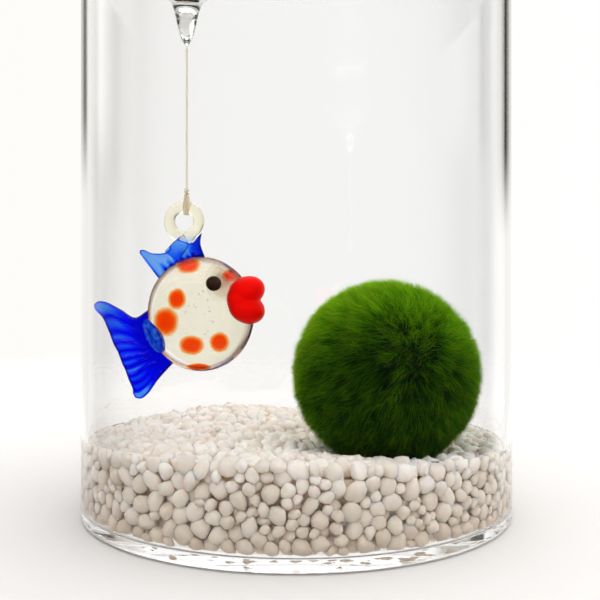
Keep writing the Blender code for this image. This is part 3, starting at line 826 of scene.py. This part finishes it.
def make_flank(word, side):
    """One side's bead eye and its small crinkled fin."""
    eye = flank_bead(f"fish_bead_eye_{word}", EYE_HALF, EYE_PLACE, 0, side, lambda p: p, 48)
    finish = finish_of(f"dark_brown_glass_{word}", {
        "Base Color": "#2c190e", "Roughness": 0.35, "IOR": 1.15})[0]
    dress(eye, finish, "dark_glass", f"fish_eye_{word}")

    flatness = []

    def crinkle(p):
        flatness.append(abs(p.z))
        fold = noise.noise(Vector((p.x * 1.6, p.y * 5.0, side)))
        return Vector((p.x * (1 + 0.06 * noise.noise(p * 2)), p.y * (1 + 0.10 * fold),
                       p.z * (0.9 + 0.45 * fold)))

    small = flank_bead(f"fish_flank_fin_{word}", SIDE_FIN_HALF, SIDE_FIN_PLACE,
                       -side * SIDE_FIN_TURN, side, crinkle, 96)
    light = np.array([0.7 + 0.7 * noise.noise(v.co * 900) for v in small.data.vertices])
    # Painted shade: the bead is darker towards its rim.
    light -= 0.7 * (1 - soft(np.array(flatness), 0.05, 0.4))
    give_numbers(small.data, "thinness_and_edge_shade", np.clip(light, 0, 1))
    dress(small, fin_finish(f"crinkled_blue_glass_{word}", [
        (0.0, "#04107c"), (0.35, "#083cf0"), (0.7, "#1e64ff"), (1.0, "#4c98ff")], 0.6),
        "blue_glass", f"fish_side_fin_{word}")


def vase_finishes():
    """Blown soda-lime glass, polished and clear, and the same where wet pebbles lie against it.

    There its refraction is that from glass into water, so that the pebbles show up to the edge.
    """
    return clear("soda_lime_glass", 1.5), clear("soda_lime_glass_wet", 1.125)


def make_vase():
    """A cylinder hollowed from its top face, with a round rim and heel and a shallow foot."""
    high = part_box("vase")[1]
    radius, height = high.x, high.z
    bore = radius - VASE_WALL
    vase = begin(bpy.ops.mesh.primitive_cylinder_add, "vase_cylinder", vertices=VASE_SIDES,
                 radius=radius, depth=height, location=(0, 0, height / 2))
    pick_end(vase, 1)
    bpy.ops.mesh.inset(thickness=VASE_WALL)
    for drop in (WET_HEIGHT - height, VASE_FLOOR - WET_HEIGHT):
        bpy.ops.mesh.extrude_region_move(TRANSFORM_OT_translate={"value": (0, 0, drop)})
    pick_end(vase, -1)
    bpy.ops.mesh.inset(thickness=radius - FOOT_INNER_RADIUS)
    bpy.ops.mesh.inset(thickness=FOOT_BEVEL)
    bpy.ops.transform.translate(value=(0, 0, FOOT_RECESS))
    rim_round = VASE_WALL * 0.49
    for place, around, width, steps in ((height, radius, rim_round, 12), (height, bore, rim_round, 12),
                                        (VASE_FLOOR, bore, INNER_ROUND, 16),
                                        (0.0, radius, HEEL_ROUND, 16)):
        pick(vase, "EDGE", lambda a, b: all(abs(p.z - place) < SAME
                                            and abs(p.xy.length - around) < SAME for p in (a, b)))
        bpy.ops.mesh.bevel(offset=width, segments=steps, affect="EDGES", clamp_overlap=False)
    bpy.ops.object.mode_set(mode="OBJECT")

    def follow_bed(place):
        if abs(place.z - WET_HEIGHT) < SAME:
            place.z = float(gravel_top(place.x, place.y)) - BED_SKIN
        return place

    move_points(vase, follow_bed)
    smooth(vase, 8)
    use_modifier(vase, "WEIGHTED_NORMAL", mode="FACE_AREA", weight=100, keep_sharp=True)
    dry, wet = vase_finishes()
    dress(vase, dry, "vase_glass", "vase")
    dress_faces(vase, wet, lambda face: face.center.xy.length < radius - 0.75 * VASE_WALL
                and VASE_FLOOR + INNER_ROUND < face.center.z < WET_HEIGHT)


def water_finishes():
    """Clear still water: its open surface bends and mirrors, and its sides don't show at all.

    The photographed vase shows its contents without the lens effect of a filled cylinder.
    """
    return clear("water_surface", 1.333), clear("water_against_glass", 1.0)


def mound(x, y, centre, rise, spread):
    return rise * np.exp(-((x - centre[0]) ** 2 + (y - centre[1]) ** 2) / (2 * spread ** 2))


def gravel_top(x, y):
    """Height that the pebbles' tops reach at a place in the bed."""
    return (GRAVEL_MIDDLE + GRAVEL_SLOPE * y + mound(x, y, HEAP_CENTRE, HEAP_RISE, HEAP_SPREAD)
            - mound(x, y, BALL_CENTRE, HOLLOW_DROP, HOLLOW_SPREAD))


def make_water():
    """A cylinder whose underside follows the bed and whose surface climbs a little at the glass."""
    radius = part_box("vase")[1].x - VASE_WALL - WATER_GAP
    foot = 0.5 * (GRAVEL_MIDDLE + VASE_FLOOR)
    water = begin(bpy.ops.mesh.primitive_cylinder_add, "water_body", vertices=128, radius=radius,
                  depth=WATER_LEVEL - foot, location=(0, 0, (WATER_LEVEL + foot) / 2))
    pick_end(water, 1)
    for _ in range(6):
        bpy.ops.mesh.inset(thickness=MENISCUS_REACH / 6)
    pick_end(water, -1)
    for _ in range(7):
        bpy.ops.mesh.inset(thickness=radius / 8)
    bpy.ops.object.mode_set(mode="OBJECT")

    def shape(place):
        if place.z > WATER_LEVEL - 0.0001:
            depth = (radius - place.xy.length) / MENISCUS_REACH
            place.z += MENISCUS_RISE * max(0.0, 1 - depth) ** 3
        else:
            place.z = float(gravel_top(place.x, place.y)) + BED_SKIN
        return place

    move_points(water, shape)
    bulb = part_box("float")
    bulb_radius = (bulb[1].x - bulb[0].x) / 2 + 0.0002
    room = ball("float_room", [bulb_radius] * 3, (*THREAD_AXIS, bulb[1].z - bulb_radius + 0.0002))
    use_modifier(water, "BOOLEAN", operation="DIFFERENCE", object=room, solver="EXACT")
    bpy.data.objects.remove(room)
    surface, body = water_finishes()
    dress(water, surface, "water", "water")
    dress_faces(water, body,
                lambda face: face.normal.z < 0.5 or face.center.z < WATER_LEVEL - 0.001)
    smooth(water, 30)


def near_pairs(places, reach):
    """Every two places closer than a reach."""
    tree = tree_of(places)
    return np.array([(i, j) for i, place in enumerate(places)
                     for _, j, _ in tree.find_range(place, reach) if j > i])


def keep_in_bed(places, radii, sunk, bore):
    """Keeps pebbles inside the glass, over its floor, under the bed's top and off the moss ball."""
    out = np.hypot(places[:, 0], places[:, 1])
    squeeze = np.minimum(1.0, (bore - radii) / out)
    places[:, :2] *= squeeze[:, None]
    top = gravel_top(places[:, 0], places[:, 1]) - radii * 0.95 - sunk
    places[:, 2] = np.clip(places[:, 2], VASE_FLOOR + WATER_GAP + radii, top)
    corner = np.array((bore - INNER_ROUND, VASE_FLOOR + INNER_ROUND))
    out = np.hypot(places[:, 0], places[:, 1])
    offset = np.stack((out, places[:, 2]), 1) - corner
    far = np.linalg.norm(offset, axis=1)
    limit = np.maximum(INNER_ROUND - 2 * WATER_GAP - radii, 0.0002)
    cornered = (offset[:, 0] > 0) & (offset[:, 1] < 0) & (far > limit)
    scale = (limit / np.maximum(far, 1e-9))[cornered]
    places[cornered, 2] = corner[1] + offset[cornered, 1] * scale
    places[cornered, :2] *= ((corner[0] + offset[cornered, 0] * scale) / out[cornered])[:, None]
    away = places - BALL_CENTRE
    far = np.linalg.norm(away, axis=1)
    limit = BALL_RADIUS - BALL_PRESS + radii
    inside = far < limit
    places[inside] = BALL_CENTRE + away[inside] * (limit / far)[inside, None]


def settle_pebbles(bore):
    """Places and radii of pebbles pushed apart until they lie close in the bed's space."""
    radii = rng.uniform(*PEBBLE_RADII, PEBBLE_COUNT)
    sunk = rng.uniform(0.0, PEBBLE_SINK, PEBBLE_COUNT)
    angle = rng.uniform(0, math.tau, PEBBLE_COUNT)
    out = bore * np.sqrt(rng.uniform(0, 1, PEBBLE_COUNT))
    places = np.stack((out * np.cos(angle), out * np.sin(angle), np.zeros(PEBBLE_COUNT)), 1)
    top = gravel_top(places[:, 0], places[:, 1])
    places[:, 2] = VASE_FLOOR + rng.uniform(0, 1, PEBBLE_COUNT) * (top - VASE_FLOOR)
    for _ in range(SETTLE_STEPS):
        first, second = near_pairs(places, 2 * PEBBLE_RADII[1]).T
        apart = places[first] - places[second]
        distance = np.maximum(np.linalg.norm(apart, axis=1), 1e-7)
        overlap = (radii[first] + radii[second]) * PEBBLE_SQUEEZE - distance
        push = apart * (np.maximum(overlap, 0) * 0.5 / distance)[:, None]
        for axis in range(3):
            places[:, axis] += np.bincount(first, push[:, axis], PEBBLE_COUNT)
            places[:, axis] -= np.bincount(second, push[:, axis], PEBBLE_COUNT)
        keep_in_bed(places, radii, sunk, bore)
    return places, radii


def pebble_shapes():
    """Points of a few pebbles, each a rounded block, and the faces that they share."""
    stone = begin(bpy.ops.mesh.primitive_ico_sphere_add, "pebble", subdivisions=2, radius=1.0)
    ways = unit(np.array([v.co for v in stone.data.vertices]))
    faces = np.array([f.vertices for f in stone.data.polygons])
    bpy.data.objects.remove(stone)
    shapes = []
    for _ in range(PEBBLE_SHAPES):
        flats = unit(rng.normal(size=(8, 3)))
        depths = rng.uniform(0.62, 0.95, 8)
        press = np.maximum(ways @ flats.T, 0) / depths
        out = ((press ** 9).sum(1) + 1) ** (-1 / 9)
        shapes.append(ways * out[:, None] / out.mean())
    return shapes, faces


def random_turns(count):
    """Rotation matrices in every direction."""
    w, x, y, z = unit(rng.normal(size=(count, 4))).T
    return np.array([[1 - 2 * (y * y + z * z), 2 * (x * y - z * w), 2 * (x * z + y * w)],
                     [2 * (x * y + z * w), 1 - 2 * (x * x + z * z), 2 * (y * z - x * w)],
                     [2 * (x * z - y * w), 2 * (y * z + x * w), 1 - 2 * (x * x + y * y)]]
                    ).transpose(2, 0, 1)


def pebble_finish():
    """Tumbled marble gravel under water: matte, warm off-white, each stone its own shade.

    It has cloudy patches a few millimetres wide and a grain of 0.3 mm, and is painted darker
    towards the bottom of the bed, as shade from the light above.
    """
    finish, tree, shader = finish_of("tumbled_marble_gravel", {
        "Roughness": 0.6, "IOR": 1.2, "Subsurface Weight": 0.6, "Subsurface Scale": 0.0016,
        "Subsurface Radius": (1.0, 0.75, 0.55)})
    place = place_in(tree)
    shade = math_of(tree, "ADD", number(tree, "pebble_tone"), cloud(tree, place, 400.0, 3.0))
    colour = coloured(tree, math_of(tree, "MULTIPLY", shade, 0.5), [
        (0.15, "#e4dace"), (0.4, "#ece3d9"), (0.65, "#f3ece4"), (0.9, "#f8f4ee")])
    # Painted shade: the pebbles darken towards the bottom of the bed, away from the light above.
    painted_shade_low = between(tree, split(tree, place)["Z"], 0.002, 0.020, 1.0, 0.0)
    tree.links.new(blend(tree, colour, "#e0d7ca", painted_shade_low), shader.inputs["Base Color"])
    bump = node(tree, "ShaderNodeBump", {"Height": cloud(tree, place, 3200.0), "Strength": 0.25,
                                         "Distance": 0.0001})
    tree.links.new(bump.outputs["Normal"], shader.inputs["Normal"])
    return finish


def make_core(bore):
    """The bed's inside, which closes the deep gaps between the pebbles that are shown."""
    core = begin(bpy.ops.mesh.primitive_cylinder_add, "gravel_core", vertices=96,
                 radius=bore - CORE_DEPTH, depth=1.0, end_fill_type="TRIFAN")
    pick_end(core, 1)
    bpy.ops.mesh.subdivide(number_cuts=8)
    bpy.ops.object.mode_set(mode="OBJECT")

    def shape(place):
        low = VASE_FLOOR + 0.6 * CORE_DEPTH
        place.z = float(gravel_top(place.x, place.y)) - CORE_DEPTH if place.z > 0 else low
        return place

    move_points(core, shape)
    smooth(core, 40)
    finish = finish_of("sand_between_pebbles", {
        "Base Color": "#d8cab8", "Roughness": 0.9, "IOR": 1.2})[0]
    dress(core, finish, "pebbles", "gravel_bed")


def make_gravel():
    """Loose pebbles, each turned and stretched its own way, in two pieces."""
    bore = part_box("vase")[1].x - VASE_WALL - WATER_GAP
    make_core(bore)
    places, radii = settle_pebbles(bore)
    shapes, faces = pebble_shapes()
    turns = random_turns(PEBBLE_COUNT)
    stretch = np.stack([rng.uniform(1.02, 1.34, PEBBLE_COUNT), rng.uniform(0.9, 1.1, PEBBLE_COUNT),
                        rng.uniform(0.78, 0.98, PEBBLE_COUNT)], 1)
    tones = rng.uniform(0, 1, PEBBLE_COUNT)
    under_top = gravel_top(places[:, 0], places[:, 1]) - places[:, 2]
    from_glass = bore - np.hypot(places[:, 0], places[:, 1])
    on_top = under_top < SHOWN_DEPTH
    at_side = ~on_top & ((from_glass < SHOWN_DEPTH) | (places[:, 2] < VASE_FLOOR + 0.0035))
    finish = pebble_finish()
    for name, chosen in (("pebbles_top", on_top), ("pebbles_side", at_side)):
        points, groups, shades = [], [], []
        for count, i in enumerate(np.flatnonzero(chosen)):
            shape = shapes[i % PEBBLE_SHAPES] * stretch[i] * radii[i] * 1.04
            points.append(shape @ turns[i].T + places[i])
            groups.append(faces + count * len(shape))
            shades.append(np.full(len(shape), tones[i]))
        piece = from_arrays(name, np.concatenate(points), np.concatenate(groups).tolist(),
                            {"pebble_tone": np.concatenate(shades)})
        dress(piece, finish, "pebbles", "gravel_bed")


def moss_finish():
    """Filamentous green alga: fine matte threads, painted near black towards the root as shade
    deep in the ball, yellow-green and lit through at the tip."""
    finish, tree, shader = finish_of("algal_filaments", {
        "Roughness": 0.8, "Specular IOR Level": 0.0})
    # The tuft numbers hold each tuft's tone and also the painted light and shade by side.
    along, tuft = number(tree, "along"), number(tree, "tuft")
    # The along ramps are painted darker towards each filament's root, as shade deep in the ball.
    reflected = blend(tree, coloured(tree, along, [
        (0.0, "#061600"), (0.4, "#1c4e00"), (0.7, "#5ca000"), (1.0, "#bcec30")]),
        coloured(tree, tuft, [(0.0, "#46643a"), (0.5, "#bcd4a4"), (1.0, "#fffff0")]))
    lit = blend(tree, coloured(tree, along, [
        (0.0, "#061600"), (0.4, "#2e6c00"), (0.7, "#9ce600"), (1.0, "#fcfc54")]),
        coloured(tree, tuft, [(0.0, "#5a7a4a"), (0.45, "#e6f4cc"), (1.0, "#ffffff")]))
    tree.links.new(reflected, shader.inputs["Base Color"])
    glow_through(tree, shader, lit, 0.6)
    return finish


def spread_ways(count):
    """Directions spread evenly over a sphere, with a little scatter."""
    i = np.arange(count) + 0.5
    height = 1 - 2 * i / count
    turn = math.pi * (1 + math.sqrt(5)) * i
    ring = np.sqrt(1 - height ** 2)
    ways = np.stack((ring * np.cos(turn), ring * np.sin(turn), height), 1)
    return unit(ways + rng.normal(scale=1.2 / math.sqrt(count), size=ways.shape))


def grow_filaments(name, finish, tufts, tones, reach, nearest_tuft):
    """Curved, tapered filaments that gather into tufts and lie away from the crown."""
    root_ways = spread_ways(FILAMENTS)
    tuft = np.array([nearest_tuft.find(way)[1] for way in root_ways])
    gather = rng.uniform(0.15, 0.75, (FILAMENTS, 1))
    lie = np.clip(root_ways @ CROWN, -1, 1)
    wisps = rng.normal(scale=0.07, size=(TUFTS, 3))
    comb = wisps[tuft] + unit(root_ways * lie[:, None] - CROWN) * (
        COMB * np.interp(np.degrees(np.arccos(lie)), *COMB_BY_ANGLE))[:, None]
    tip_ways = unit(root_ways * (1 - gather) + tufts[tuft] * gather + comb
                    + rng.normal(scale=0.03, size=root_ways.shape))
    tip_out = (BALL_RADIUS - TIP_DROP + TUFT_RELIEF * reach[tuft]
               - rng.exponential(TIP_SCATTER, FILAMENTS))
    tip_out = np.where(rng.uniform(0, 1, FILAMENTS) < STRAYS,
                       BALL_RADIUS - STRAY_DROP * rng.uniform(0, 1, FILAMENTS) ** 2, tip_out)
    tip_out = np.clip(tip_out, BALL_RADIUS - TIP_LOWEST, BALL_RADIUS)
    roots = root_ways * (UNDERCOAT_RADIUS - ROOT_DEPTH)
    tips = tip_ways * tip_out[:, None]
    bends = root_ways * (tip_out * 0.55 + UNDERCOAT_RADIUS * 0.45)[:, None]
    side = unit(np.cross(tips - roots, rng.normal(size=roots.shape)))
    width = FILAMENT_WIDTH / 2 * rng.uniform(0.7, 1.25, (FILAMENTS, 1))
    rows = []
    for t in np.array((0.0, 0.4, 0.75, 1.0)):
        centre = roots * (1 - t) ** 2 + bends * 2 * t * (1 - t) + tips * t ** 2
        half = side * width * (1 - 0.75 * t)
        rows += [centre] if t == 1 else [centre - half, centre + half]
    points = np.stack(rows, 1) + BALL_CENTRE
    first = np.arange(FILAMENTS)[:, None] * 7
    quads = np.concatenate([first + (0, 1, 3, 2), first + (2, 3, 5, 4)]).tolist()
    ends = (first + (4, 5, 6)).tolist()
    along = np.tile(np.array((0, 0, 0.4, 0.4, 0.75, 0.75, 1.0)), FILAMENTS)
    # Each tuft's own tone, a random tone, and painted light and shade: paler on the side towards the
    # light above and behind, darker away from it.
    shade = tones[tuft] * 0.28 + rng.uniform(0, 1, FILAMENTS) ** 1.6 * 0.6
    shade += np.interp(root_ways @ PAINTED_LIGHT_SIDE, *PAINTED_SHADE_BY_SIDE)
    piece = from_arrays(name, points.reshape(-1, 3), quads + ends,
                        {"along": along, "tuft": np.repeat(np.clip(shade, 0, 1), 7)})
    dress(piece, finish, "moss", "moss_ball")


def make_moss():
    """Filaments in soft tufts over a dark undercoat."""
    finish = moss_finish()
    tufts = spread_ways(TUFTS)
    tones = rng.uniform(0, 1, TUFTS)
    reach = rng.uniform(-1, 1, TUFTS)
    nearest_tuft = tree_of(tufts)
    for count in range(1, MOSS_PIECES + 1):
        grow_filaments(f"moss_filaments_{count}", finish, tufts, tones, reach, nearest_tuft)
    under = begin(bpy.ops.mesh.primitive_ico_sphere_add, "moss_undercoat", subdivisions=5,
                  radius=UNDERCOAT_RADIUS, location=BALL_CENTRE)
    move_points(under, lambda p: p + (p - Vector(BALL_CENTRE)).normalized()
                * UNDERCOAT_RELIEF * noise.noise(p * 400))
    smooth(under)
    dress(under, undercoat_finish(), "moss", "moss_ball")


def undercoat_finish():
    """The matted inner threads: near black green, too deep for light to reach."""
    finish, tree, shader = finish_of("matted_alga", {"Roughness": 0.9})
    colour = coloured(tree, cloud(tree, place_in(tree), 900.0), [
        (0.3, "#0a1c00"), (0.7, "#1a4000")])
    tree.links.new(colour, shader.inputs["Base Color"])
    return finish


def board_finish():
    """Matte white board, which fades into the white surroundings away from the vase, and ends
    in front of it below the picture's edge.

    It has an opening under the vase, so that the base is lit from below and shows no dark floor.
    """
    finish, tree, shader = finish_of("matte_white_board", {"Base Color": "#aeacaa", "Roughness": 0.9})
    place = place_in(tree)
    x, y, _ = split(tree, place)
    away = vector_of(tree, "LENGTH", place)
    aslant = math_of(tree, "MULTIPLY_ADD", y, -0.384, math_of(tree, "ABSOLUTE", x))
    gone = eased(tree, away, 0.15, 0.75)
    for edge in (eased(tree, y, -0.085, -0.105), eased(tree, aslant, 0.096, 0.125),
                 eased(tree, away, 0.0578, 0.0555)):
        gone = math_of(tree, "MAXIMUM", gone, edge)
    lay_over(tree, shader, node(tree, "ShaderNodeBsdfTransparent"), gone)
    return finish


def make_floor():
    floor = begin(bpy.ops.mesh.primitive_plane_add, "floor", size=6.0, location=(0, 0, -0.0003))
    floor.data.materials.append(board_finish())


def light_studio():
    """A white studio, lit from all round and most from above and the right.

    A dark flag on either side behind draws the fine dark line down each wall of the vase. What
    is in front isn't mirrored in the glass, as in a photograph with its reflections taken out.
    """
    world = bpy.data.worlds.new("white_studio")
    bpy.context.scene.world = world
    world.use_nodes = True
    tree = world.node_tree
    shader = tree.nodes["Background"]
    x, y, z = split(tree, node(tree, "ShaderNodeTexCoord").outputs[0])

    def grey(level):
        return node(tree, "ShaderNodeCombineColor", {0: level, 1: level, 2: level}).outputs[0]

    turn = math_of(tree, "ARCTAN2", x, y)
    aside = math_of(tree, "ABSOLUTE", turn)
    share = between(tree, turn, -math.pi / 2, math.pi / 2)
    low_wall, high_wall = [coloured(tree, share, [
        ((degrees + 90) / 180, code) for degrees, code in stops]) for stops in (FLAGS_LOW, FLAGS_HIGH)]
    height = math_of(tree, "ADD", z, math_of(tree, "MULTIPLY", x, FLAG_LEAN))
    around = blend(tree, low_wall, high_wall, eased(tree, height, *FLAG_HEIGHT), "MIX")
    path = node(tree, "ShaderNodeLightPath").outputs
    between_ends = math_of(tree, "ABSOLUTE", math_of(tree, "SUBTRACT", path["Glossy Depth"], 2.0))
    unmirrored = math_of(tree, "MAXIMUM", math_of(tree, "SUBTRACT", between_ends, 1.0),
                         path["Diffuse Depth"])
    fill = math_of(tree, "MULTIPLY", math_of(tree, "MINIMUM", unmirrored, 1.0),
                   eased(tree, aside, *map(math.radians, FRONT_FROM)))
    low = blend(tree, around, grey(FRONT_FILL), fill, "MIX")
    lift = eased(tree, y, 0.35, -0.2, 0.0, ABOVE_LIFT)
    above = eased(tree, math_of(tree, "ADD", z, lift), *ABOVE)
    top = math_of(tree, "MULTIPLY", eased(tree, y, -0.6, 0.2, *TOP_LIGHT),
                  eased(tree, x, -0.7, 0.7, *TOP_SIDES))
    tree.links.new(blend(tree, low, grey(top), above, "MIX"), shader.inputs["Color"])
    behind = eased(tree, aside, *map(math.radians, VIEW_BEHIND), *BACK_LIGHT)
    tree.links.new(behind, shader.inputs["Strength"])


place_camera()
make_thread()
make_float()
make_body()
make_tail()
make_dorsal()
make_ring()
make_lips()
make_flank("front", -1)
make_flank("back", 1)
make_vase()
make_water()
make_gravel()
make_moss()
make_floor()
light_studio()

scene = bpy.context.scene
scene.view_settings.view_transform = "Standard"
scene.cycles.max_bounces = 96
scene.cycles.transmission_bounces = 96
scene.cycles.glossy_bounces = 96
scene.cycles.diffuse_bounces = 16
